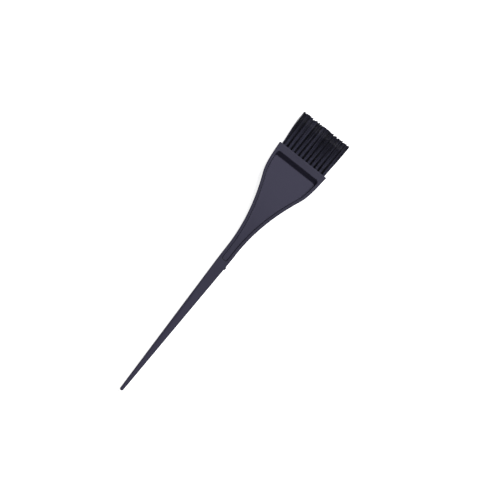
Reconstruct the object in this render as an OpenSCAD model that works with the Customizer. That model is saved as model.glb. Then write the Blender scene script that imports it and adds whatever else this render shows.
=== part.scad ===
// Tint brush for hair colour. A one-piece moulded handle has a wide head with a dished blade
// on both faces and a slim tail for parting and sectioning. Bundles of filament stand in
// drilled holes in the head's front face, each folded over a flat metal anchor.
//
// The brush lies flat. +X runs from the tail to the bristle tips, +Y lies across the head and
// +Z is up. The origin is under the centre of the brush, on the surface that the head rests on.

/* [Handle] */
// Length from the tail's tip to the face that the bristles leave
handle_length = 190.4; // [184:0.2:205]
// Width of the head at that face
head_width = 38.4; // [37.4:0.2:42]
// Thickness of the head
head_thickness = 10; // [9.6:0.1:12]
// Width of the neck, the narrow end of the blade
neck_width = 8.24; // [7.4:0.1:9.4]
// Thickness of the neck
neck_thickness = 5.4; // [4.8:0.1:6.4]
// Diameter of the tail's tip
tip_diameter = 2.5; // [2.2:0.1:3.4]
// Rounding of the long edges of the blade and the head
edge_radius = 0.6; // [0.4:0.05:1.1]
// How oval the tail's section is, from a rounded rectangle to an oval
tail_oval = 0.7; // [0.3:0.05:0.75]

/* [Recess] */
// Thickness of the blade's web, between the recesses of its two faces
web_thickness = 2.4; // [1.8:0.1:3]
// Width of the rim along each side of a recess
rim_width = 2; // [1.7:0.05:2.3]
// Length of the solid bar between a recess and the bristle face
bar_length = 4.8; // [4.4:0.1:6]
// Length of the slope from the bar down to the recess floor
slope_length = 3.1; // [2.6:0.1:4]
// Corner radius of a recess beside the bar
recess_corner = 2.2; // [1.6:0.1:2.5]

/* [Bristles] */
// Free length of the bristles in the middle of the brush
bristle_length = 25.6; // [20:0.2:32]
// Bundles in each of the three rows
row_count = 11; // [9:1:11]
// Distance between the bundles of a row
tuft_pitch = 3.15; // [3.1:0.05:3.3]
// Distance between two rows
row_pitch = 2.8; // [2.7:0.05:2.9]
// Diameter of the hole that holds a bundle
hole_diameter = 2.1; // [1.9:0.05:2.2]
// Depth of that hole
hole_depth = 5; // [4.5:0.1:5.2]
// Diameter of a bundle at its tip
tuft_tip_diameter = 3.05; // [2.6:0.05:3.05]
// Shortening of the outermost bundles
crown = 0.4; // [0:0.1:1.5]
// Share by which the bundles fan out towards the tips
fan = 0.015; // [0.005:0.005:0.03]

/* [Anchors] */
// Thickness of the flat wire
anchor_thickness = 0.3; // [0.2:0.05:0.4]
// Width of the wire, along the hole
anchor_height = 1.6; // [1.2:0.1:2]
// Bite of each end of an anchor into the wall of its hole
anchor_bite = 0.15; // [0.1:0.05:0.25]

/* [Hidden] */
$fn = 64;
two_digits = function (i) str(i < 10 ? "0" : "", i);
tuft_name = function (row, i) str("tuft_", row, "_", two_digits(i));
ROWS = ["top", "middle", "bottom"];
ROW_HEIGHTS = [row_pitch, 0, -row_pitch];
// The rows are staggered by half a pitch: the outer ones lie a quarter of it to one side
ROW_SHIFTS = [-tuft_pitch / 4, tuft_pitch / 4, -tuft_pitch / 4];

handle_color = [0.16, 0.16, 0.18];
bristle_color = [0.07, 0.07, 0.08];
anchor_color = [0.72, 0.62, 0.38];

total_length = handle_length + bristle_length;
half_row = (row_count - 1) / 2 * tuft_pitch + tuft_pitch / 4;

// Places along the handle, measured from the tail's tip
neck_start = handle_length - 86.4;
neck_end = handle_length - 74.4;
shoulder = handle_length - 22.4;
cheek = handle_length - 12.4;
head_start = handle_length - 10;
recess_end = handle_length - bar_length;
slope_foot = recess_end - slope_length;
recess_start = handle_length - 82.8;

// The round end of the tail is a little blunt, and thins out less than it narrows
tip_bluntness = 1.03;
tip_flatness = 0.4;

// Share of the tail that is a full oval, and its rounding upwards in half thicknesses
oval_part = 0.6;
tail_crown = 0.8;

// Half widths: the tail ends a touch narrower than the neck, and the shoulder and the cheek
// have these shares of the flare from the neck to the head's full width
tip_r = tip_diameter / 2;
neck_half = neck_width / 2;
tail_end_half = neck_half - 0.13;
flare = head_width / 2 - neck_half;
shoulder_share = 0.755;
cheek_share = 0.92;

// How fast the half width grows: along the tail, and in flares per millimetre past the neck
tail_slope = (tail_end_half - tip_r) / (neck_start - tip_r);
shoulder_slope = 0.0285;
cheek_slope = 0.009;
head_slope = 0.007;

// Each knot is a place, the half width there, and its slope
WIDTH_KNOTS = [
    [tip_r, tip_r, tail_slope],
    [neck_start, tail_end_half, tail_slope],
    [neck_end, neck_half, 0],
    [shoulder, neck_half + shoulder_share * flare, shoulder_slope * flare],
    [cheek, neck_half + cheek_share * flare, cheek_slope * flare],
    [handle_length, head_width / 2, head_slope * flare]
];
tail_thinning = (neck_thickness / 2 - tip_r) / (neck_end - tip_r);
// Each knot is a place, the half thickness there, and its slope
THICKNESS_KNOTS = [
    [tip_r, tip_r, tail_thinning],
    [neck_end, neck_thickness / 2, tail_thinning],
    [head_start, head_thickness / 2, 0],
    [handle_length, head_thickness / 2, 0]
];

// A bundle leaves its hole straight and swells just clear of the face
mouth_collar = 0.32;
mouth_gap = 0.08;
mouth_swell = 0.2;

// Height of an anchor's middle above the bottom of its hole, in widths of the wire
anchor_rise = 0.75;

// Recess details that stay the same whatever its size
slot_corner = 1.2;
slot_wall = 0.5;
side_draft = 0.4;
// Where there is no recess, its two edge lines run on along the flat top: they lie this share
// of the draft apart, and within this share of the top's width
least_draft = 0.1;
flat_share = 0.8;

// Gate mark: the trimmed stub left on the side of the tail by moulding
gate_at = handle_length - 86.7;
gate_length = 2.2;
gate_height = 1.6;
gate_stub = 0.65;

// Value at x of the smooth curve through the knots, each a [place, value, slope]
function along(knots, x, i = 0) =
    i + 2 < len(knots) && x > knots[i + 1][0] ? along(knots, x, i + 1) :
    let (a = knots[i], b = knots[i + 1], span = b[0] - a[0], t = (x - a[0]) / span)
    a[1] * (2 * t ^ 3 - 3 * t ^ 2 + 1) + b[1] * (3 * t ^ 2 - 2 * t ^ 3)
    + span * (a[2] * (t ^ 3 - 2 * t ^ 2 + t) + b[2] * (t ^ 3 - t ^ 2));

// Share of the full section left by the round end of the tail
function tip_share(x) = x < tip_r ? sqrt(1 - ((tip_r - x) / tip_r / tip_bluntness) ^ 2) : 1;
function half_width(x) = tip_share(x) * along(WIDTH_KNOTS, max(x, tip_r));
function half_thickness(x) =
    (tip_flatness + (1 - tip_flatness) * tip_share(x)) * along(THICKNESS_KNOTS, max(x, tip_r));

function smooth(t) = let (s = min(max(t, 0), 1)) s * s * (3 - 2 * s);
function mix(a, b, t) = a + (b - a) * t;

// The tail is oval over most of its length and turns into the blade's section before the neck
function oval_share(x) = 1 - smooth((x / neck_start - oval_part) / (1 - oval_part));
function edge_across(x) = mix(edge_radius, tail_oval * half_width(x), oval_share(x));
function edge_upwards(x) = mix(edge_radius, tail_crown * half_thickness(x), oval_share(x));

// How much a corner of this radius takes off the width at this distance from its end
function corner_cut(radius, distance) =
    distance >= radius ? 0 : radius - sqrt(radius ^ 2 - (radius - max(distance, 0)) ^ 2);

// Half width of the recess at the level of the rim
function recess_half_width(x) =
    let (at = min(max(x, recess_start), recess_end))
    half_width(at) - rim_width
    - corner_cut(slot_corner, at - recess_start) - corner_cut(recess_corner, recess_end - at);

// Height of the recess floor above the middle of the handle
function floor_height(x) =
    let (rim = half_thickness(x), web = web_thickness / 2)
    x <= recess_start || x >= recess_end ? rim :
    max(
        web,
        rim - (rim - web) * (x - recess_start) / slot_wall,
        rim - (rim - web) * (recess_end - x) / slope_length
    );

// A quarter of the handle's section, as [y, z] from the middle of the top round to the side
function quarter(x) =
    let (
        w = half_width(x),
        h = half_thickness(x),
        across = edge_across(x),
        upwards = edge_upwards(x),
        edge = recess_half_width(x),
        top = x < recess_start ? min(edge, flat_share * (w - across)) : edge,
        low = floor_height(x),
        draft = side_draft * max(least_draft, (h - low) / (h - web_thickness / 2)),
        foot = top - min(draft, 0.5 * top)
    )
    concat(
        [[0, low], [foot, low], [top, h]],
        [for (a = [90:-22.5:0]) [w - across + across * cos(a), h - upwards + upwards * sin(a)]],
        [[w, 0]]
    );

// The whole section at x, as points that run once round it
function section(x) =
    let (q = quarter(x), last = len(q) - 1)
    concat(
        [for (i = [0:last]) [x, q[i][0], q[i][1]]],
        [for (i = [last - 1:-1:0]) [x, q[i][0], -q[i][1]]],
        [for (i = [1:last]) [x, -q[i][0], -q[i][1]]],
        [for (i = [last - 1:-1:1]) [x, -q[i][0], q[i][1]]]
    );

function steps(from, to, count) = [for (i = [1:count]) from + (to - from) * i / count];

// The sections lie closer together where the outline or the recess turns a corner
STATIONS = concat(
    [for (a = [0:15:75]) tip_r * (1 - cos(a))],
    [tip_r],
    steps(tip_r, neck_start, 10),
    [recess_start],
    [for (a = [25, 50, 70, 90]) recess_start + slot_corner * (1 - cos(a))],
    [recess_start + 3, neck_end],
    steps(neck_end, shoulder, 16),
    steps(shoulder, cheek, 4),
    steps(cheek, slope_foot, 3),
    [for (a = [0:20:80]) recess_end - recess_corner * (1 - sin(a))],
    [recess_end, handle_length]
);

// A closed skin over a list of sections that have the same number of points, with a fan of
// triangles round the middle of each end
module skin(sections) {
    count = len(sections[0]);
    rings = len(sections);
    next = function (j) (j + 1) % count;
    ends = [[sections[0][0][0], 0, 0], [sections[rings - 1][0][0], 0, 0]];
    polyhedron(
        points = concat([for (s = sections) for (p = s) p], ends),
        faces = concat(
            [for (j = [0:count - 1]) [rings * count, next(j), j]],
            [for (i = [0:rings - 2]) for (j = [0:count - 1]) let (a = i * count, b = a + count)
                [a + j, a + next(j), b + next(j), b + j]],
            [for (j = [0:count - 1]) let (a = (rings - 1) * count)
                [rings * count + 1, a + j, a + next(j)]]
        )
    );
}

// From the tail's tip to the tips of the bristles, with the tail's tip at x = 0
module along_brush() translate([-total_length / 2, 0, head_thickness / 2]) children();

// Each place in a row, with the child lying along +X from the bristle face
module in_row(r, which) {
    for (i = which)
        translate([handle_length, place(r, i), ROW_HEIGHTS[r]]) children();
}

function place(r, i) = (i - (row_count + 1) / 2) * tuft_pitch + ROW_SHIFTS[r];

module hole() translate([-hole_depth, 0, 0]) rotate([0, 90, 0])
    cylinder(d = hole_diameter, h = hole_depth + 1);

// A short length of flat wire, pressed across the hole near its bottom
module anchor()
    translate([anchor_height * anchor_rise - hole_depth, 0, 0])
        cube([anchor_height, hole_diameter + 2 * anchor_bite, anchor_thickness], center = true);

module gate_mark() translate([gate_at, -half_width(gate_at), 0])
    cube([gate_length, 2 * gate_stub, gate_height], center = true);

module handle() color(handle_color) along_brush() difference() {
    union() {
        skin([for (x = STATIONS) section(x)]);
        gate_mark();
    }
    for (r = [0:2]) in_row(r, [1:row_count]) {
        hole();
        anchor();
    }
}

// A bundle of filament: straight in its hole, then a little wider, leaning outwards and opening
module tuft(r, i) color(bristle_color) along_brush() in_row(r, [i]) difference() {
    y = place(r, i);
    free_length = bristle_length - crown * (y / half_row) ^ 2;
    union() {
        translate([-hole_depth, 0, 0]) rotate([0, 90, 0])
            cylinder(d = hole_diameter, h = hole_depth + mouth_collar);
        rotate([0, 90, atan(fan * y / bristle_length)]) translate([0, 0, mouth_gap])
            cylinder(
                d1 = hole_diameter + mouth_swell, d2 = tuft_tip_diameter,
                h = free_length - mouth_gap
            );
    }
    anchor();
}

module anchors(r) color(anchor_color) along_brush() in_row(r, [1:row_count]) anchor();

handle();
for (r = [0:2]) {
    for (i = [1:row_count])
        tuft(r, i);
    anchors(r);
}
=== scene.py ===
import math
from types import SimpleNamespace

import bmesh
import bpy
import numpy as np
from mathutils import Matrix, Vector


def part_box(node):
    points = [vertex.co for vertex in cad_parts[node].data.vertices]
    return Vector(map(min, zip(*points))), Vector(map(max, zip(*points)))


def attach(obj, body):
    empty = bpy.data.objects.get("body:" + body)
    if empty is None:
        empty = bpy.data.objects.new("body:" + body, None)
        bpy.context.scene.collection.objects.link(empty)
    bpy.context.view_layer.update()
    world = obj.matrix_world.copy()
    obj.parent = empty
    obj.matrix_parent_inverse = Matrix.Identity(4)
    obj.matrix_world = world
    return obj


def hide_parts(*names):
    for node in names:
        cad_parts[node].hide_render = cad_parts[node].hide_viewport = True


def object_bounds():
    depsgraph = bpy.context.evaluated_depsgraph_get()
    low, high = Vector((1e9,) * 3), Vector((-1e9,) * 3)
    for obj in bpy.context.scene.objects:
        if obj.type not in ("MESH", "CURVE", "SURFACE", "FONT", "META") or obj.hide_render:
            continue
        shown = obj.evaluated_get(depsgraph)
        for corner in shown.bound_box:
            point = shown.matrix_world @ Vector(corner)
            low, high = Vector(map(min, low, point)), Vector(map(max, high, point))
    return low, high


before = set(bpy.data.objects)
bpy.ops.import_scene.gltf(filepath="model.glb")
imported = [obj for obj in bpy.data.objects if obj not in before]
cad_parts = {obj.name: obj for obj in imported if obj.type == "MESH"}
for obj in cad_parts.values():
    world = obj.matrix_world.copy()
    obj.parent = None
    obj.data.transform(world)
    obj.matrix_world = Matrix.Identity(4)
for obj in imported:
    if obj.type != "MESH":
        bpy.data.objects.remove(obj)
CAD_LOW, CAD_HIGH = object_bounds()

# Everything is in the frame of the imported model. The handle and the bundles are drawn in
# millimetres, with u measured from the tail's tip, y across and z from the middle of the head.
MM = 0.001
handle_low, handle_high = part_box("handle")
LENGTH = (handle_high.x - handle_low.x) / MM
HEAD_HALF = (handle_high.y - handle_low.y) / 2 / MM
HEAD_HALF_THICKNESS = (handle_high.z - handle_low.z) / 2 / MM
ORIGIN = np.array([handle_low.x, 0, (handle_low.z + handle_high.z) / 2])
BRISTLE_END = (CAD_HIGH.x - ORIGIN[0]) / MM

TUFTS = sorted(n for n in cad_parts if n.startswith("tuft_"))
ANCHORS = sorted(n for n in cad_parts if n.startswith("anchors_"))


def to_frame(points):
    return ORIGIN + np.asarray(points, float) * MM


def from_frame(points):
    return (np.asarray(points, float) - ORIGIN) / MM


def mix(a, b, t):
    return a + (b - a) * t


def smooth(t):
    t = min(max(t, 0), 1)
    return t * t * (3 - 2 * t)


# ---------------------------------------------------------------- the handle's shape

# Places along the handle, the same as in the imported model
NECK_START = LENGTH - 86.4
NECK_END = LENGTH - 74.4
SHOULDER = LENGTH - 22.4
CHEEK = LENGTH - 12.4
HEAD_START = LENGTH - 10
RECESS_START = LENGTH - 82.8
RECESS_END = LENGTH - 4.8

# Half widths: the tail ends a touch narrower than the neck, and the shoulder and the cheek
# have these shares of the flare from the neck to the head's full width
TIP_RADIUS = 1.25
NECK_HALF = 4.12
TAIL_END_HALF = NECK_HALF - 0.13
FLARE = HEAD_HALF - NECK_HALF
SHOULDER_SHARE = 0.755
CHEEK_SHARE = 0.92
NECK_HALF_THICKNESS = 2.7

# How fast the half width grows: along the tail, and in flares per millimetre past the neck
TAIL_SLOPE = (TAIL_END_HALF - TIP_RADIUS) / (NECK_START - TIP_RADIUS)
SHOULDER_SLOPE = 0.0285
CHEEK_SLOPE = 0.009
HEAD_SLOPE = 0.007
TAIL_THINNING = (NECK_HALF_THICKNESS - TIP_RADIUS) / (NECK_END - TIP_RADIUS)

# Each knot is a place, the value there and its slope
WIDTH_KNOTS = [
    (TIP_RADIUS, TIP_RADIUS, TAIL_SLOPE),
    (NECK_START, TAIL_END_HALF, TAIL_SLOPE),
    (NECK_END, NECK_HALF, 0),
    (SHOULDER, NECK_HALF + SHOULDER_SHARE * FLARE, SHOULDER_SLOPE * FLARE),
    (CHEEK, NECK_HALF + CHEEK_SHARE * FLARE, CHEEK_SLOPE * FLARE),
    (LENGTH, HEAD_HALF, HEAD_SLOPE * FLARE),
]
THICKNESS_KNOTS = [
    (TIP_RADIUS, TIP_RADIUS, TAIL_THINNING),
    (NECK_END, NECK_HALF_THICKNESS, TAIL_THINNING),
    (HEAD_START, HEAD_HALF_THICKNESS, 0),
    (LENGTH, HEAD_HALF_THICKNESS, 0),
]

# The round end of the tail is a little blunt, and thins out less than it narrows
TIP_BLUNTNESS = 1.03
TIP_FLATNESS = 0.4
# Share of the tail that is a full oval, and the oval's rounding across and upwards
OVAL_PART = 0.6
TAIL_OVAL = 0.7
TAIL_CROWN = 0.8

EDGE_RADIUS = 0.6
FRONT_ROUND = 0.3
PARTING_RIDGE = 0.04
HOLE_BEVEL = 0.12

# The recess. A pair of corner radii is the one at the rim and the one on the floor
HALF_WEB = 1.2
RIM_WIDTH = 2.0
SIDE_DRAFT = 0.4
SLOT_WALL = 0.5
SLOPE_LENGTH = 3.1
SLOT_CORNERS = (1.2, 0.9)
HEAD_CORNERS = (2.2, 1.3)
RIM_ROUND = 0.09
FLOOR_ROUND = 0.1

# The trimmed stub of the moulding gate, and the share of its half size over which it rises
GATE_AT = LENGTH - 86.7
GATE_HALF_LENGTH = 1.1
GATE_HALF_HEIGHT = 0.8
GATE_STUB = 0.6
GATE_RAMP = 0.3

# How finely each stretch of the handle is divided
TAIL_ROWS = 44
TIP_ROWS = 10
ACROSS = 10
SLOT_STEPS = 6
HEAD_STEPS = 12
SIDE_STEPS = 84
RING_STEPS = 4
ROUND_STEPS = 5
EDGE_STEPS = 7
HOLE_SIDES = 24
# Heights of the rows of points down a side, as shares of its flat part
SIDE_SHARES = (0.82, 0.66, 0.5, 0.34, 0.17, 0.07, 0)
# Rows across the gate stub, as shares of its half length, and how far other rows stay off it
GATE_ROWS = (-1.1, -1, -0.7, -0.4, 0, 0.4, 0.7, 1, 1.1)
GATE_CLEAR = 0.5
# Points closer than this are joined, and an end's own points lie this near to its plane
JOIN_DISTANCE = 0.002
END_TOLERANCE = 1e-4
# The points of the side wall lie within this distance of the full half width
SIDE_WALL_DEPTH = 3 * PARTING_RIDGE


def along(knots, x):
    """Value at x of the smooth curve through the knots."""
    a, b = next(pair for pair in zip(knots, knots[1:]) if x <= pair[1][0] or pair[1] is knots[-1])
    span = b[0] - a[0]
    t = (x - a[0]) / span
    ends = a[1] * (2 * t**3 - 3 * t**2 + 1) + b[1] * (3 * t**2 - 2 * t**3)
    return ends + span * (a[2] * (t**3 - 2 * t**2 + t) + b[2] * (t**3 - t**2))


def tip_share(x):
    """Share of the full section left by the round end of the tail."""
    if x >= TIP_RADIUS:
        return 1
    return math.sqrt(1 - ((TIP_RADIUS - x) / TIP_RADIUS / TIP_BLUNTNESS) ** 2)


def half_width(x):
    return tip_share(x) * along(WIDTH_KNOTS, max(x, TIP_RADIUS))


def half_thickness(x):
    kept = TIP_FLATNESS + (1 - TIP_FLATNESS) * tip_share(x)
    return kept * along(THICKNESS_KNOTS, max(x, TIP_RADIUS))


def oval_share(x):
    """The tail is oval over most of its length and turns into the blade's section at the neck."""
    return 1 - smooth((x / NECK_START - OVAL_PART) / (1 - OVAL_PART))


def edge_across(x):
    return mix(EDGE_RADIUS, TAIL_OVAL * half_width(x), oval_share(x))


def edge_upwards(x):
    return mix(EDGE_RADIUS, TAIL_CROWN * half_thickness(x), oval_share(x))


def top_edge(x):
    """Where the flat top ends and the rounding of the long edge begins."""
    return half_width(x) - PARTING_RIDGE - edge_across(x)


def depth(x):
    return half_thickness(x) - HALF_WEB


def wall_profile(run, drop):
    """Points down a recess wall, as (distance inwards, share of the drop), both corners rounded."""
    tilt = math.atan2(drop, run)
    reach = math.tan(tilt / 2)
    turns = [tilt * i / ROUND_STEPS for i in range(ROUND_STEPS + 1)]
    rim = [(RIM_ROUND * (math.sin(a) - reach), RIM_ROUND * (1 - math.cos(a))) for a in turns]
    foot = [
        (run + FLOOR_ROUND * (reach - math.sin(a)), drop - FLOOR_ROUND * (1 - math.cos(a)))
        for a in reversed(turns)
    ]
    return [(distance, fall / drop) for distance, fall in rim + foot]


SLOT_PROFILE = wall_profile(SLOT_WALL, depth(RECESS_START))
HEAD_PROFILE = wall_profile(SLOPE_LENGTH, depth(RECESS_END))
LEVELS = len(HEAD_PROFILE)


def recess_loop(level):
    """Half of the recess outline at one level of its wall, from the slot end to the head end."""
    slot_in, slot_share = SLOT_PROFILE[level]
    head_in, head_share = HEAD_PROFILE[level]
    start = RECESS_START + slot_in
    end = RECESS_END - head_in
    slot_corner = mix(*SLOT_CORNERS, slot_share)
    head_corner = mix(*HEAD_CORNERS, head_share)

    def side(u):
        inwards, share = wall_profile(SIDE_DRAFT, depth(u))[level]
        return half_width(u) - RIM_WIDTH - inwards, share

    points = []
    slot_y = side(start)[0] - slot_corner
    for i in range(ACROSS):
        points.append((start, slot_y * i / ACROSS, slot_share))
    for i in range(SLOT_STEPS):
        a = math.pi / 2 * i / SLOT_STEPS
        u = start + slot_corner * (1 - math.cos(a))
        y, share = side(u)
        share = mix(slot_share, share, smooth(i / SLOT_STEPS))
        points.append((u, y - slot_corner * (1 - math.sin(a)), share))
    first, last = start + slot_corner, end - head_corner
    for i in range(SIDE_STEPS):
        u = mix(first, last, i / SIDE_STEPS)
        points.append((u, *side(u)))
    for i in range(HEAD_STEPS):
        a = math.pi / 2 * (1 - i / HEAD_STEPS)
        u = end - head_corner * (1 - math.cos(a))
        y, share = side(u)
        share = mix(share, head_share, smooth(i / HEAD_STEPS))
        points.append((u, y - head_corner * (1 - math.sin(a)), share))
    head_y = side(end)[0] - head_corner
    for i in range(ACROSS + 1):
        points.append((end, head_y * (1 - i / ACROSS), head_share))
    return [(u, y, half_thickness(u) - share * depth(u)) for u, y, share in points]


def wear_down_wall(level):
    """Edges that hands rub: most at the middle of the rim's rounding, none down the wall."""
    return math.sin(math.pi * min(level / ROUND_STEPS, 1))


TAIL_END = RECESS_START - 2
FRONT = LENGTH - FRONT_ROUND
FRONT_COLUMNS = ACROSS + HEAD_STEPS // 2
TAIL_COLUMNS = ACROSS + SLOT_STEPS // 2


def tail_stations():
    """Rows from the tip to the recess, closer together at the round tip and at the gate stub."""
    tip = [TIP_RADIUS * (1 - math.cos(math.pi / 2 * i / TIP_ROWS)) for i in range(TIP_ROWS + 1)]
    rows = [mix(TIP_RADIUS, TAIL_END, i / TAIL_ROWS) for i in range(1, TAIL_ROWS + 1)]
    clear = [u for u in rows if abs(u - GATE_AT) > GATE_HALF_LENGTH + GATE_CLEAR]
    gate = [GATE_AT + GATE_HALF_LENGTH * share for share in GATE_ROWS]
    return sorted(tip + clear + gate)


def outer_stations(loop):
    """Places along the long edge that answer to the points of the recess outline's side."""
    first = ACROSS + SLOT_STEPS
    sides = [loop[k][0] for k in range(first, first + SIDE_STEPS + 1)]
    near = [mix(TAIL_END, sides[0], i / (SLOT_STEPS // 2)) for i in range(SLOT_STEPS // 2)]
    far = [mix(sides[-1], FRONT, i / (HEAD_STEPS // 2)) for i in range(1, HEAD_STEPS // 2 + 1)]
    return near + sides + far


def outer_loop(stations):
    """The line round the flat top that the recess outline is joined to, point for point."""
    tail = [(TAIL_END, top_edge(TAIL_END) * i / TAIL_COLUMNS) for i in range(TAIL_COLUMNS)]
    side = [(u, top_edge(u)) for u in stations]
    front = [(FRONT, top_edge(FRONT) * (1 - i / FRONT_COLUMNS)) for i in range(1, FRONT_COLUMNS + 1)]
    return tail + side + front


def side_points(x, inset=0):
    """Points (y, z, wear) from the end of the flat top round the long edge to the parting line."""
    w = half_width(x) - PARTING_RIDGE
    across = edge_across(x)
    low = half_thickness(x) - edge_upwards(x)
    rub = 1 - oval_share(x)
    turns = [math.pi / 2 * i / EDGE_STEPS for i in range(EDGE_STEPS + 1)]
    edge = [
        (w - across + (across - inset) * math.sin(a),
         low + (edge_upwards(x) - inset) * math.cos(a),
         rub * math.sin(2 * a))
        for a in turns
    ]
    flat = [(w - inset + (PARTING_RIDGE if share == 0 else 0), low * share, 0) for share in SIDE_SHARES]
    return edge + flat


def top_ring(inner, outer):
    """The flat rim between the recess outline and the long edge."""
    patch = []
    for i in range(RING_STEPS + 1):
        t = i / RING_STEPS
        row = [(mix(a[0], b[0], t), mix(a[1], b[1], t)) for a, b in zip(inner, outer)]
        patch.append([(u, y, half_thickness(u), 0) for u, y in row])
    return patch


def recess_floor(loop):
    rows = loop[ACROSS : len(loop) - ACROSS]
    return [[(u, y * i / ACROSS, z, 0) for i in range(ACROSS + 1)] for u, y, z in rows]


def tail_top(rows):
    return [
        [(u, top_edge(u) * i / TAIL_COLUMNS, half_thickness(u), 0) for i in range(TAIL_COLUMNS + 1)]
        for u in rows
    ]


def front_rounding():
    """The rounded edge between the top, the side and the face that the bristles leave."""
    patch = []
    for i in range(ROUND_STEPS + 1):
        a = math.pi / 2 * i / ROUND_STEPS
        u = FRONT + FRONT_ROUND * math.sin(a)
        inset = FRONT_ROUND * (1 - math.cos(a))
        wear = math.sin(2 * a)
        h = HEAD_HALF_THICKNESS - inset
        top = [(u, top_edge(FRONT) * k / FRONT_COLUMNS, h, wear) for k in range(FRONT_COLUMNS)]
        side = [(u, y, z, max(wear, rub)) for y, z, rub in side_points(FRONT, inset)]
        patch.append(top + side)
    return patch


def quarter_patches():
    """Grids of (u, y, z, wear) that cover the handle where y and z are positive."""
    loops = [recess_loop(level) for level in range(LEVELS)]
    stations = outer_stations(loops[0])
    tail_rows = tail_stations()
    long_rows = tail_rows[:-1] + stations
    return [
        top_ring(loops[0], outer_loop(stations)),
        [[(*p, wear_down_wall(level)) for p in loop] for level, loop in enumerate(loops)],
        recess_floor(loops[-1]),
        tail_top(tail_rows),
        [[(u, y, z, wear) for y, z, wear in side_points(u)] for u in long_rows],
        front_rounding(),
    ]


def add_patch(bm, wear_layer, patch, flip_y, flip_z):
    grid = [
        [bm.verts.new((u, y * flip_y, z * flip_z)) for u, y, z, _ in row]
        for row in patch
    ]
    for row, made in zip(patch, grid):
        for point, vertex in zip(row, made):
            vertex[wear_layer] = point[3]
    for a, b in zip(grid, grid[1:]):
        for i in range(len(a) - 1):
            bm.faces.new((a[i], a[i + 1], b[i + 1], b[i]))


def gate_rise(u, z):
    """How far the trimmed stub of the moulding gate stands off the side of the tail."""
    lengthwise = (GATE_HALF_LENGTH - abs(u - GATE_AT)) / (GATE_RAMP * GATE_HALF_LENGTH)
    upwards = (GATE_HALF_HEIGHT - abs(z)) / (GATE_RAMP * GATE_HALF_HEIGHT)
    return GATE_STUB * min(max(min(lengthwise, upwards), 0), 1)


# Painted light: the tail is painted paler, as if more light fell on it, and this fades back over the
# second length
TAIL_PAINTED_LIGHT = 0.6
TAIL_PAINTED_LIGHT_LENGTH, TAIL_FADE = 60, 50
# Painted light grows along the recess floor too, paler towards the head where the floor catches more of
# the light, from this far past the slot end and over the second length. The floor begins at this share of
# the recess's depth
FLOOR_PAINTED_LIGHT_START, FLOOR_PAINTED_LIGHT_GROWTH = 12, 45
FLOOR_START, FLOOR_FADE = 0.9, 0.1
# How dark the painted shade is on the recess walls at the slot end and along the sides, the length
# over which it changes, and the share of the depth over which it sets in
SLOT_PAINTED_SHADE = 0.85
SIDE_PAINTED_SHADE = 0.6
PAINTED_SHADE_FADE = 2
PAINTED_SHADE_RIM = 0.015


def sunk_share(u, y, z):
    """How far down the recess a point lies: 0 on the rim or outside it, 1 on the floor."""
    if not RECESS_START < u < RECESS_END or abs(y) > half_width(u) - RIM_WIDTH:
        return 0
    return (half_thickness(u) - abs(z)) / depth(u)


def painted_light_share(u, y, z):
    """How much painted light a point gets: paler on the tail, and on the recess floor by the head."""
    if u < TAIL_PAINTED_LIGHT_LENGTH + TAIL_FADE:
        return TAIL_PAINTED_LIGHT * (1 - smooth((u - TAIL_PAINTED_LIGHT_LENGTH) / TAIL_FADE))
    on_floor = smooth((sunk_share(u, y, z) - FLOOR_START) / FLOOR_FADE)
    return on_floor * smooth((u - RECESS_START - FLOOR_PAINTED_LIGHT_START) / FLOOR_PAINTED_LIGHT_GROWTH)


def painted_shade_share(u, y, z):
    """How dark the painted shade on the recess wall is: most at the slot end, and none at the head end.
    """
    sunk = sunk_share(u, y, z)
    from_slot = smooth((u - RECESS_START - SLOT_WALL) / PAINTED_SHADE_FADE)
    to_head = smooth((u - RECESS_END + SLOPE_LENGTH + PAINTED_SHADE_FADE) / PAINTED_SHADE_FADE)
    on_wall = smooth(sunk / PAINTED_SHADE_RIM) * smooth((1 - sunk) / PAINTED_SHADE_RIM)
    return on_wall * mix(SLOT_PAINTED_SHADE, mix(SIDE_PAINTED_SHADE, 0, to_head), from_slot)


def ring(bm, u, y, z, radius):
    turns = [2 * math.pi * i / HOLE_SIDES for i in range(HOLE_SIDES)]
    return [bm.verts.new((u, y + radius * math.cos(a), z + radius * math.sin(a))) for a in turns]


def join_rings(bm, a, b):
    for i in range(len(a)):
        k = (i + 1) % len(a)
        bm.faces.new((a[i], a[k], b[k], b[i]))


def close_end(bm, u, holes=()):
    """Fills the flat end of the skin at u, leaving bevelled blind holes in it."""
    edges = [
        e for e in bm.edges
        if e.is_boundary and all(abs(v.co.x - u) < END_TOLERANCE for v in e.verts)
    ]
    mouths = []
    for y, z, radius, bottom in holes:
        mouth = ring(bm, u, y, z, radius + HOLE_BEVEL)
        lip = ring(bm, u - HOLE_BEVEL, y, z, radius)
        end = ring(bm, bottom, y, z, radius)
        join_rings(bm, mouth, lip)
        join_rings(bm, lip, end)
        bm.faces.new(end)
        mouths += [bm.edges.get((mouth[i - 1], mouth[i])) for i in range(HOLE_SIDES)]
    bmesh.ops.triangle_fill(bm, use_beauty=True, edges=edges + mouths, normal=(1, 0, 0))


def mesh_object(name, mesh, material):
    obj = bpy.data.objects.new(name, mesh)
    bpy.context.scene.collection.objects.link(obj)
    mesh.materials.append(material)
    mesh.shade_smooth()
    return obj


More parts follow.
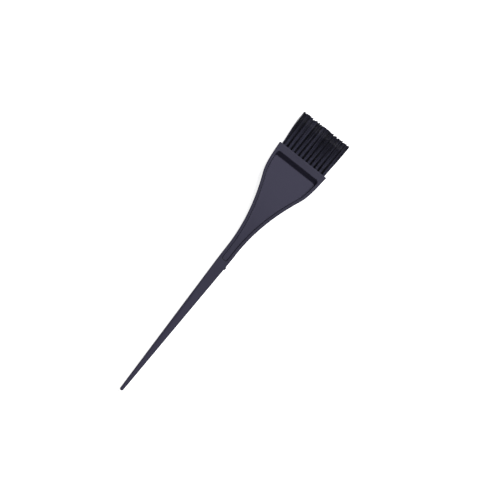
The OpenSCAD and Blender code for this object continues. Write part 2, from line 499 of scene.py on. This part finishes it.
def make_handle(material, holes):
    bm = bmesh.new()
    wear_layer = bm.verts.layers.float.new("wear")
    painted_light_layer = bm.verts.layers.float.new("painted_light")
    painted_shade_layer = bm.verts.layers.float.new("painted_shade")
    for patch in quarter_patches():
        for flip_y in (1, -1):
            for flip_z in (1, -1):
                add_patch(bm, wear_layer, patch, flip_y, flip_z)
    bmesh.ops.remove_doubles(bm, verts=bm.verts, dist=JOIN_DISTANCE)
    for v in bm.verts:
        # Masks for the handle's painted light and painted shade
        v[painted_light_layer] = painted_light_share(*v.co)
        v[painted_shade_layer] = painted_shade_share(*v.co)
        if -v.co.y > half_width(v.co.x) - SIDE_WALL_DEPTH:
            v.co.y -= gate_rise(v.co.x, v.co.z)
    close_end(bm, 0)
    close_end(bm, LENGTH, holes)
    bmesh.ops.recalc_face_normals(bm, faces=bm.faces)
    mesh = bpy.data.meshes.new("moulded_handle")
    bm.to_mesh(mesh)
    bm.free()
    co = np.empty(len(mesh.vertices) * 3)
    mesh.vertices.foreach_get("co", co)
    mesh.vertices.foreach_set("co", to_frame(co.reshape(-1, 3)).ravel())
    mesh.update()
    obj = mesh_object("moulded_handle", mesh, material)
    obj.modifiers.new("even_shading", "WEIGHTED_NORMAL").keep_sharp = True
    return obj


# ---------------------------------------------------------------- the bundles of filament

FILAMENT_RADIUS = 0.1
FILAMENT_SIDES = 5
# The single filaments' radii lie between these shares of that one
THINNEST, THICKEST = 0.88, 1.05
# The first bundle's random seed. The others have the numbers that follow
FIRST_SEED = 100
# Room left between the filaments and the hole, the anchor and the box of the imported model
SLACK = 0.02
# Where the rings of a filament lie on its free length, as shares of it
FREE_SHARES = np.array([0, 0.06, 0.15, 0.3, 0.5, 0.74, 1.0])
# The slices of a bundle's solid, from each end, that its bottom and its tip are measured on
BOTTOM_SLICE, TIP_SLICE = 0.05, 0.15

# The cut is crowned. It also has small steps from one edge to the other: where each ends
# across the brush, and how far back it has sloped by then
CROWN = 0.15
CUT_COUNT = 20
CUT_START = -22
CUT_RNG = np.random.default_rng(17)
CUT_STEPS = CUT_START + np.cumsum(CUT_RNG.uniform(1.4, 4.6, CUT_COUNT))
CUT_DEPTHS = CUT_RNG.uniform(0.2, 1.3, CUT_COUNT)
# How far single filaments and whole clumps fall short of the cut, and a few that are broken
RAGGED, CLUMP_RAGGED = 0.06, 0.12
BROKEN_SHARE, BROKEN_BY = 0.03, (0.5, 2.0)

# How a leg opens past the hole, from 0 for evenly to 1 for mostly near the hole, and how far
# its filaments spread upwards at the tip, as a share of the bundle
OPENING = 0.55
LEG_SPREAD = 1.15

# Filaments gather in clumps at the tip, within these shares of its area, and each is pulled
# part of the way towards its clump
CLUMPS = 13
CLUMP_AREA = (0.05, 0.9)
CLUMP_PULL = (0.05, 0.25)
# Half of the clumps are darker, up to the first shade, and half are paler by the second: a random tone
# that also stands in for painted highlight streaks
DARK_SHADE, PALE_STEP = 0.3, 0.7
OWN_SHADE = 0.2

# How far things stray across the brush and upwards. The middle row, packed in, strays less,
# and a filament hardly strays at its hole. Each is also a little bowed
CLUMP_STRAY, MIDDLE_CLUMP_STRAY = (0.22, 0.12), (0.08, 0.12)
LEAN, MIDDLE_LEAN = (0.1, 0.06), (0.04, 0.06)
TIP_STRAY = (0.06, 0.14)
MOUTH_STRAY = 0.02
BOW = 0.04

# The outermost bundle of a row leans out on the +Y side, and more of its filaments are loose
OUTERMOST = 0.8
OUTWARD_LEAN = 0.45
LOOSE_SHARE, OUTERMOST_LOOSE_SHARE = 0.03, 0.3
SPLAY, INNER_SPLAY = (0.3, 1.0), 0.4
SPLAY_BOW = 0.4

# The fold round the anchor's inner edge: where its rings are between the legs, the arc it
# turns through, its height against the legs', and how far past the anchor it reaches, which
# grows towards the filaments on the outside of the bundle
FOLD_TURNS = (-0.5, 0, 0.5)
FOLD_ARC = math.pi / 1.3
FOLD_HEIGHT = 1.6
NEAREST_FOLD, FOLD_GROWTH, FARTHEST_FOLD = 0.12, 0.17, 0.28

# Painted shade: filaments go from the darkest, deep inside the brush where shade falls, to the palest
# between these heights and widths
INNER_HEIGHT, OUTER_HEIGHT = 2.4, 3.65
INNER_WIDTH, OUTER_WIDTH = 15.8, 17.6


def tuft_lines(node):
    """The middles of a bundle's bottom and tip, and the radii of both, from its CAD solid."""
    co = from_frame([v.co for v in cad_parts[node].data.vertices])
    bottom = co[co[:, 0] < co[:, 0].min() + BOTTOM_SLICE]
    tip = co[co[:, 0] > co[:, 0].max() - TIP_SLICE]
    root = (bottom.min(0) + bottom.max(0)) / 2
    end = (tip.min(0) + tip.max(0)) / 2
    hole_radius = (bottom[:, 1].max() - bottom[:, 1].min()) / 2
    tip_radius = (tip[:, 1].max() - tip[:, 1].min()) / 2
    return root, end, hole_radius, tip_radius


def packed_legs(hole_radius, clear):
    """Filament places packed into the half of a hole above its anchor."""
    pitch = 2 * FILAMENT_RADIUS
    reach = hole_radius - FILAMENT_RADIUS - SLACK
    places = []
    for z in np.arange(clear, reach, pitch * math.sqrt(3) / 2):
        half = math.sqrt(reach**2 - z**2)
        count = int(2 * half / pitch) + 1
        shift = (2 * half - (count - 1) * pitch) / 2
        places += [(-half + shift + pitch * i, z) for i in range(count)]
    return np.array(places)


def cut_back(y):
    """How much shorter than the longest filaments the cut is at each place across the brush."""
    step = np.clip(np.searchsorted(CUT_STEPS, y), 1, len(CUT_STEPS) - 1)
    share = (y - CUT_STEPS[step - 1]) / (CUT_STEPS[step] - CUT_STEPS[step - 1])
    return CUT_DEPTHS[step] * np.clip(share, 0, 1)


def plan_bundle(node, rng):
    """What the filaments of a bundle share: hole, anchor, clumps at the tip, lean and length."""
    root, end, hole_radius, tip_radius = tuft_lines(node)
    anchor_low, anchor_high = (from_frame(c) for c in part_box("anchors_" + node.split("_")[1]))
    clear = (anchor_high[2] - anchor_low[2]) / 2 + FILAMENT_RADIUS + SLACK
    places = packed_legs(hole_radius, clear)
    middle = "middle" in node
    angle = rng.uniform(0, 2 * math.pi, CLUMPS)
    reach = tip_radius * np.sqrt(rng.uniform(*CLUMP_AREA, CLUMPS))
    clumps = np.stack([reach * np.cos(angle), reach * np.sin(angle)], 1)
    clump_stray = rng.normal(0, MIDDLE_CLUMP_STRAY if middle else CLUMP_STRAY, clumps.shape)
    dark_shade = rng.uniform(0, DARK_SHADE, CLUMPS)
    clump_shade = dark_shade + PALE_STEP * (rng.random(CLUMPS) < 0.5)
    clump_shortening = abs(rng.normal(0, CLUMP_RAGGED, CLUMPS))
    lean = rng.normal(0, MIDDLE_LEAN if middle else LEAN)
    edge = root[1] / HEAD_HALF
    lean[0] += OUTWARD_LEAN * (edge > OUTERMOST)
    return SimpleNamespace(
        root=root, end=end, hole_radius=hole_radius, tip_radius=tip_radius,
        anchor_low=anchor_low, anchor_high=anchor_high, clear=clear,
        places=places, packed_reach=np.linalg.norm(places, axis=1).max(),
        clumps=clumps, clump_stray=clump_stray, clump_shade=clump_shade,
        clump_shortening=clump_shortening, lean=lean, edge=edge,
        longest=BRISTLE_END - CROWN * edge**2,
    )


def gather(bundle, inside, side, rng):
    """Where a leg's filaments end across the bundle, and the clump that each belongs to."""
    # The gap that the anchor leaves between the two legs closes towards the tip
    reach = bundle.packed_reach
    closed = (abs(inside[:, 1]) - bundle.clear) / (reach - bundle.clear) * LEG_SPREAD * reach * side
    spread = np.column_stack([inside[:, 0], closed]) / reach * (bundle.tip_radius - FILAMENT_RADIUS)
    own = np.linalg.norm(spread[:, None] - bundle.clumps[None], axis=2).argmin(1)
    pull = rng.uniform(*CLUMP_PULL, (len(spread), 1))
    tip = mix(spread, bundle.clumps[own], pull) + bundle.clump_stray[own] + bundle.lean
    tip += rng.normal(0, TIP_STRAY, tip.shape)
    return tip, own


def splay_out(bundle, tip, bow, rng):
    """Loose filaments bend away towards the nearer edge of the brush."""
    outermost = bundle.edge > OUTERMOST
    loose = rng.random(len(tip)) < (OUTERMOST_LOOSE_SHARE if outermost else LOOSE_SHARE)
    splay = rng.uniform(*SPLAY, loose.sum()) * (1 if outermost else INNER_SPLAY)
    tip[loose, 0] += np.sign(bundle.edge) * splay
    bow[loose, 0] += np.sign(bundle.edge) * SPLAY_BOW * splay


def leg_paths(bundle, side, rng):
    """Centre lines and shades of the filaments on one side of the anchor, from it to their ends."""
    count = len(bundle.places)
    mouth = bundle.places * (1, side) + (FILAMENT_RADIUS / 2 * side, 0)
    inside = mouth + rng.normal(0, MOUTH_STRAY, mouth.shape)
    tip, own = gather(bundle, inside, side, rng)
    bow = rng.normal(0, BOW, (count, 2))
    splay_out(bundle, tip, bow, rng)
    cut = cut_back(bundle.end[1] + tip[:, 0])
    ragged = cut + bundle.clump_shortening[own] + abs(rng.normal(0, RAGGED, count))
    broken = (rng.random(count) < BROKEN_SHARE) * rng.uniform(*BROKEN_BY, count)
    ends = bundle.longest - ragged - broken

    free = FREE_SHARES[None, :, None]
    opening = mix(free, np.sin(free * math.pi / 2), OPENING)
    across = mix(inside[:, None], tip[:, None], opening) + bow[:, None] * np.sin(free * math.pi)
    axis = mix(bundle.root[1:], bundle.end[1:], free)
    u = mix(LENGTH, ends[:, None], FREE_SHARES[None])
    body = np.concatenate([u[..., None], axis + across], 2)
    throat = np.stack([
        np.column_stack([np.full(count, x), bundle.root[1:] + mouth])
        for x in (bundle.anchor_low[0], bundle.anchor_high[0])
    ], 1)
    shades = (1 - OWN_SHADE) * bundle.clump_shade[own] + OWN_SHADE * rng.random(count)
    return np.concatenate([throat, body], 1), shades


def fold_paths(bundle):
    """The turn of each filament round the anchor, between its two legs."""
    depth_in_leg = (bundle.places[:, 1] - bundle.clear) / (bundle.hole_radius - bundle.clear)
    back = np.minimum(NEAREST_FOLD + FOLD_GROWTH * depth_in_leg, FARTHEST_FOLD)
    rings = []
    for turn in FOLD_TURNS:
        x = bundle.anchor_low[0] - back * math.cos(turn * FOLD_ARC)
        y = bundle.root[1] + bundle.places[:, 0]
        z = bundle.root[2] + bundle.places[:, 1] * -turn * FOLD_HEIGHT
        rings.append(np.column_stack([x, y, z]))
    return np.stack(rings, 1)


def tuft_paths(node, rng):
    """Centre lines and shades of a bundle's filaments. Each is folded over the anchor: two legs."""
    bundle = plan_bundle(node, rng)
    upper, upper_shades = leg_paths(bundle, 1, rng)
    lower, lower_shades = leg_paths(bundle, -1, rng)
    paths = np.concatenate([upper[:, ::-1], fold_paths(bundle), lower], 1)
    past_fold = np.linspace(0, 1, paths.shape[1]) > 0.5
    return paths, np.where(past_fold, lower_shades[:, None], upper_shades[:, None])


def tube_points(paths, rng):
    """Rings of points round each path, for filaments of slightly different thickness."""
    tangent = np.gradient(paths, axis=1)
    tangent /= np.linalg.norm(tangent, axis=2, keepdims=True)
    sideways = np.array([0, 1, 0]) - tangent[..., 1:2] * tangent
    sideways /= np.linalg.norm(sideways, axis=2, keepdims=True)
    upwards = np.cross(tangent, sideways)
    a = np.arange(FILAMENT_SIDES) * 2 * math.pi / FILAMENT_SIDES + math.pi / 2
    round_it = np.cos(a)[:, None] * sideways[:, :, None] + np.sin(a)[:, None] * upwards[:, :, None]
    radius = rng.uniform(THINNEST, THICKEST, (len(paths), 1, 1, 1)) * FILAMENT_RADIUS
    return paths[:, :, None] + round_it * radius


def tube_faces(count, rings):
    """Walls and both end caps of closed tubes, with their rings numbered one after another."""
    start = np.arange(count)[:, None, None] * rings * FILAMENT_SIDES
    base = start + np.arange(rings - 1)[None, :, None] * FILAMENT_SIDES
    this = np.arange(FILAMENT_SIDES)[None, None]
    after = (this + 1) % FILAMENT_SIDES
    next_base = base + FILAMENT_SIDES
    walls = np.stack([base + this, base + after, next_base + after, next_base + this], -1)
    first = start[:, 0] + np.arange(FILAMENT_SIDES)[::-1]
    last = start[:, 0] + (rings - 1) * FILAMENT_SIDES + np.arange(FILAMENT_SIDES)
    return walls.reshape(-1, 4).tolist() + first.tolist() + last.tolist()


def tube_mesh(name, paths, shades, rng):
    """One mesh of closed tubes along the paths, with each filament's own shade on its points."""
    paths[..., 0] = np.minimum(paths[..., 0], BRISTLE_END - SLACK)
    limit = HEAD_HALF - FILAMENT_RADIUS - SLACK
    paths[..., 1] = np.clip(paths[..., 1], -limit, limit)
    points = to_frame(tube_points(paths, rng).reshape(-1, 3))
    mesh = bpy.data.meshes.new(name)
    mesh.from_pydata(points.tolist(), [], tube_faces(*paths.shape[:2]))
    reach = (paths[..., 0] - LENGTH) / (BRISTLE_END - LENGTH)
    # How far out in the brush a point lies; the material paints shade on the filaments inside
    outward = np.maximum(
        (abs(paths[..., 2]) - INNER_HEIGHT) / (OUTER_HEIGHT - INNER_HEIGHT),
        (abs(paths[..., 1]) - INNER_WIDTH) / (OUTER_WIDTH - INNER_WIDTH),
    )
    for key, value in (("shade", shades), ("reach", reach), ("outward", outward)):
        value = np.clip(np.repeat(value.ravel(), FILAMENT_SIDES), 0, 1)
        mesh.attributes.new(key, "FLOAT", "POINT").data.foreach_set("value", value)
    return mesh


def make_tuft(node, seed, material):
    rng = np.random.default_rng(seed)
    paths, shades = tuft_paths(node, rng)
    name = node.replace("tuft", "filaments")
    return mesh_object(name, tube_mesh(name, paths, shades, rng), material)


# ---------------------------------------------------------------- materials

# What adds nodes takes the material that they belong to, or the world, which has nodes too


def new_material(name):
    material = bpy.data.materials.new(name)
    material.use_nodes = True
    return material, material.node_tree.nodes["Principled BSDF"]


def connect(material, value, socket):
    """Puts a value on an input socket, or links another node's output to it."""
    if isinstance(value, bpy.types.NodeSocket):
        material.node_tree.links.new(value, socket)
    else:
        socket.default_value = value


def add_node(material, kind, inputs=None, **settings):
    """A node of that kind. Each of its inputs gets a value or another node's output."""
    node = material.node_tree.nodes.new(kind)
    for key, value in settings.items():
        setattr(node, key, value)
    for key, value in (inputs or {}).items():
        connect(material, value, node.inputs[key])
    return node


def noise(material, scale, detail=2.0, roughness=0.5, stretch=(1, 1, 1)):
    """Noise on the object's own coordinates in metres, stretched by a scale along each axis."""
    place = add_node(material, "ShaderNodeTexCoord").outputs["Object"]
    place = add_node(material, "ShaderNodeMapping", {"Vector": place, "Scale": stretch}).outputs["Vector"]
    inputs = {"Vector": place, "Scale": scale, "Detail": detail, "Roughness": roughness}
    return add_node(material, "ShaderNodeTexNoise", inputs).outputs["Fac"]


def remap(material, value, span, to):
    """The value moved from one span to another, and held at its ends."""
    inputs = {
        "Value": value,
        "From Min": span[0], "From Max": span[1],
        "To Min": to[0], "To Max": to[1],
    }
    return add_node(material, "ShaderNodeMapRange", inputs).outputs["Result"]


def maths(material, operation, a, b):
    return add_node(material, "ShaderNodeMath", {0: a, 1: b}, operation=operation).outputs[0]


def blend_colours(material, share, a, b):
    """From colour a to colour b, by a share. The mix node names its colour inputs by number."""
    inputs = {0: share, 6: a, 7: b}
    return add_node(material, "ShaderNodeMix", inputs, data_type="RGBA").outputs[2]


def attribute(material, name):
    return add_node(material, "ShaderNodeAttribute", attribute_name=name).outputs["Fac"]


def bump(material, height, distance, strength, normal=None):
    inputs = {"Height": height, "Distance": distance, "Strength": strength}
    if normal:
        inputs["Normal"] = normal
    return add_node(material, "ShaderNodeBump", inputs).outputs["Normal"]


def link(material, bsdf, outputs):
    """Links node outputs to the shader's inputs of those names."""
    for name, output in outputs.items():
        material.node_tree.links.new(output, bsdf.inputs[name])


def handle_plastic():
    """Satin violet-black moulding: faint flow streaks, a fine grain, edges rubbed smoother, painted light
    on the tail and the recess floor, and painted shade on the recess walls.
    """
    deep = (0.0385, 0.036, 0.063, 1)
    light = (0.049, 0.047, 0.079, 1)
    painted_light_colour = (0.057, 0.0535, 0.091, 1)
    painted_shade_colour = (0.012, 0.012, 0.0155, 1)
    rubbed = (0.048, 0.0465, 0.07, 1)
    material, bsdf = new_material("handle_plastic")

    streaks = noise(material, scale=60, detail=3, roughness=0.6, stretch=(0.12, 1, 1))
    patches = noise(material, scale=90)
    tone = maths(
        material, "ADD",
        maths(material, "MULTIPLY", streaks, 0.6),
        maths(material, "MULTIPLY", patches, 0.4),
    )
    colour = blend_colours(material, remap(material, tone, span=(0.35, 0.65), to=(0, 1)), deep, light)
    # Painted light: paler on the tail and on the recess floor towards the head
    painted_light = maths(material, "MULTIPLY", attribute(material, "painted_light"), 0.95)
    colour = blend_colours(material, painted_light, colour, painted_light_colour)
    # Painted shade: darker down the recess walls, most at the slot end
    colour = blend_colours(material, attribute(material, "painted_shade"), colour, painted_shade_colour)
    patchy = remap(material, noise(material, scale=420, detail=3), span=(0.42, 0.62), to=(0, 1))
    worn = maths(material, "MULTIPLY", attribute(material, "wear"), patchy)
    colour = blend_colours(material, maths(material, "MULTIPLY", worn, 0.35), colour, rubbed)

    satin = noise(material, scale=700, detail=3, roughness=0.6)
    satin = remap(material, satin, span=(0.3, 0.7), to=(0.48, 0.58))
    roughness = maths(material, "SUBTRACT", satin, maths(material, "MULTIPLY", worn, 0.1))
    sag = bump(material, noise(material, scale=160, detail=1), distance=0.00012, strength=0.25)
    grain = noise(material, scale=9000, roughness=0.6)
    normal = bump(material, grain, distance=0.000015, strength=0.35, normal=sag)

    link(material, bsdf, {"Base Color": colour, "Roughness": roughness, "Normal": normal})
    bsdf.inputs["IOR"].default_value = 1.5
    bsdf.inputs["Specular IOR Level"].default_value = 0.28
    return material


def bristle_nylon():
    """Violet-black filament in lighter and darker strands, with painted shade inside the brush, painted
    light at the root, and dry paler tips.
    """
    darkest = (0.006, 0.006, 0.011, 1)
    palest = (0.057, 0.057, 0.09, 1)
    shaded = (0.002, 0.002, 0.004, 1)
    dried = (0.04, 0.039, 0.06, 1)
    material, bsdf = new_material("bristle_nylon")

    # Painted light: all strands are pale at the root, where the bundles' tops catch the light, and each
    # comes to its own shade further out
    reach = attribute(material, "reach")
    shade = attribute(material, "shade")
    shade = maths(material, "MULTIPLY", shade, remap(material, reach, span=(0.5, 0.9), to=(1.2, 0.8)))
    shade = maths(material, "MULTIPLY", shade, remap(material, reach, span=(0.1, 0.6), to=(0.15, 1)))
    painted_root_light = remap(material, reach, span=(0.1, 0.6), to=(1, 0))
    shade = maths(material, "ADD", painted_root_light, shade)
    colour = blend_colours(material, shade, darkest, palest)

    # Painted shade: filaments inside the brush, away from its outer surface, are darkened
    inside = maths(material, "SUBTRACT", 1.0, attribute(material, "outward"))
    inside = maths(material, "MULTIPLY", remap(material, reach, span=(0.2, 0.9), to=(1, 0.6)), inside)
    colour = blend_colours(material, maths(material, "MULTIPLY", inside, 0.95), colour, shaded)
    dry = maths(material, "MULTIPLY", remap(material, reach, span=(0.9, 1), to=(0, 0.1)), shade)
    colour = blend_colours(material, dry, colour, dried)

    scuff = noise(material, scale=1800, stretch=(0.15, 1, 1))
    roughness = remap(material, scuff, span=(0.3, 0.7), to=(0.32, 0.5))
    normal = bump(material, scuff, distance=0.00001, strength=0.4)
    link(material, bsdf, {"Base Color": colour, "Roughness": roughness, "Normal": normal})
    bsdf.inputs["IOR"].default_value = 1.5
    bsdf.inputs["Specular IOR Level"].default_value = 0.25
    return material


def anchor_wire():
    """Drawn brass wire, with lines along it and a little tarnish."""
    brass = (0.72, 0.58, 0.32, 1)
    tarnished = (0.42, 0.31, 0.16, 1)
    material, bsdf = new_material("anchor_wire")
    drawn = noise(material, scale=6000, roughness=0.6, stretch=(1, 0.05, 1))
    tarnish = remap(material, noise(material, scale=1500, detail=3), span=(0.4, 0.65), to=(0, 1))
    colour = blend_colours(material, tarnish, brass, tarnished)
    roughness = remap(material, drawn, span=(0.3, 0.7), to=(0.25, 0.42))
    normal = bump(material, drawn, distance=0.00001, strength=0.5)
    link(material, bsdf, {"Base Color": colour, "Roughness": roughness, "Normal": normal})
    bsdf.inputs["Metallic"].default_value = 1
    return material


# ---------------------------------------------------------------- studio

CAMERA_HEIGHT = 1.2
CAMERA_LENS = 132.6
# The brush lies aslant in the picture, and the camera looks straight down beside its middle
BRUSH_TURN = math.radians(51.6)
LOOK_AT = (0.0153, -0.0093)

# The softbox hangs beyond the bristles and a little to the right, and faces the brush
SOFTBOX_AT = (2.15, -0.75, 3.25)
SOFTBOX_RADIUS = 1.1
SOFTBOX_RADIANCE = 11.8
STUDIO_WHITE = (0.97, 0.97, 1.0)

# The surroundings as a light: their strength above, at and below the horizon, and the heights
# of a direction, from -1 straight down to 1 straight up, between which one turns into another
SURROUND_ABOVE = 0.06
SURROUND_LEVEL = 0.9
SURROUND_BELOW = 0.45
LOWER_FADE = (-0.6, -0.05)
UPPER_FADE = (-0.03, 0.12)

# The floor is a square that glows a little, so that it stays white, a hair below the brush
FLOOR_HALF = 3.0
FLOOR_GAP = 0.05 * MM
FLOOR_GLOW = 0.85


def make_camera():
    data = bpy.data.cameras.new("camera")
    data.lens = CAMERA_LENS
    camera = bpy.data.objects.new("camera", data)
    camera.location = (*LOOK_AT, CAMERA_HEIGHT)
    camera.rotation_euler = (0, 0, -BRUSH_TURN)
    bpy.context.scene.collection.objects.link(camera)
    bpy.context.scene.camera = camera


def make_world():
    """White to the camera. As a light it is dim above and brightest just below the horizon."""
    world = bpy.data.worlds.new("studio")
    world.use_nodes = True
    dim = world.node_tree.nodes["Background"]
    dim.inputs["Color"].default_value = (*STUDIO_WHITE, 1)
    direction = add_node(world, "ShaderNodeTexCoord").outputs["Generated"]
    upwards = add_node(world, "ShaderNodeSeparateXYZ", {"Vector": direction}).outputs["Z"]
    below = remap(world, upwards, LOWER_FADE, (SURROUND_BELOW, SURROUND_LEVEL))
    above = remap(world, upwards, UPPER_FADE, (SURROUND_LEVEL, SURROUND_ABOVE))
    connect(world, maths(world, "MINIMUM", below, above), dim.inputs["Strength"])
    white = add_node(world, "ShaderNodeBackground", {"Color": (1, 1, 1, 1)}).outputs[0]
    seen = add_node(world, "ShaderNodeLightPath").outputs["Is Camera Ray"]
    both = add_node(world, "ShaderNodeMixShader", {0: seen, 1: dim.outputs[0], 2: white})
    connect(world, both.outputs[0], world.node_tree.nodes["World Output"].inputs[0])
    return world


def make_softbox():
    data = bpy.data.lights.new("softbox", "AREA")
    data.shape = "DISK"
    data.size = 2 * SOFTBOX_RADIUS
    data.energy = SOFTBOX_RADIANCE * (math.pi * SOFTBOX_RADIUS) ** 2
    data.color = STUDIO_WHITE
    light = bpy.data.objects.new("softbox", data)
    light.location = SOFTBOX_AT
    light.rotation_euler = Vector(SOFTBOX_AT).to_track_quat("Z", "Y").to_euler()
    light.visible_camera = False
    bpy.context.scene.collection.objects.link(light)


def pale_floor():
    """Matt white, with the faintest mottling."""
    light_grey = (0.9, 0.9, 0.9, 1)
    off_white = (0.93, 0.93, 0.93, 1)
    material, bsdf = new_material("pale_floor")
    colour = blend_colours(material, noise(material, scale=300), light_grey, off_white)
    link(material, bsdf, {"Base Color": colour})
    bsdf.inputs["Roughness"].default_value = 0.9
    bsdf.inputs["Specular IOR Level"].default_value = 0.1
    bsdf.inputs["Emission Color"].default_value = (1, 1, 1, 1)
    bsdf.inputs["Emission Strength"].default_value = FLOOR_GLOW
    return material


def make_floor():
    mesh = bpy.data.meshes.new("floor")
    z = CAD_LOW.z - FLOOR_GAP
    corners = [(x * FLOOR_HALF, y * FLOOR_HALF, z) for x, y in ((-1, -1), (1, -1), (1, 1), (-1, 1))]
    mesh.from_pydata(corners, [], [(0, 1, 2, 3)])
    floor = mesh_object("floor", mesh, pale_floor())
    floor.visible_diffuse = False
    floor.visible_glossy = False


def make_studio():
    scene = bpy.context.scene
    scene.view_settings.view_transform = "Standard"
    scene.world = make_world()
    make_softbox()
    make_floor()


# ---------------------------------------------------------------- the brush

make_camera()
make_studio()

nylon = bristle_nylon()
holes = []
for number, node in enumerate(TUFTS):
    root, _, hole_radius, _ = tuft_lines(node)
    holes.append((root[1], root[2], hole_radius, root[0]))
    tuft = make_tuft(node, FIRST_SEED + number, nylon)
    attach(tuft, "root")
    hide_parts(node)

handle = make_handle(handle_plastic(), holes)
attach(handle, "root")
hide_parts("handle")

brass = anchor_wire()
for node in ANCHORS:
    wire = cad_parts[node]
    wire.data.materials.clear()
    wire.data.materials.append(brass)
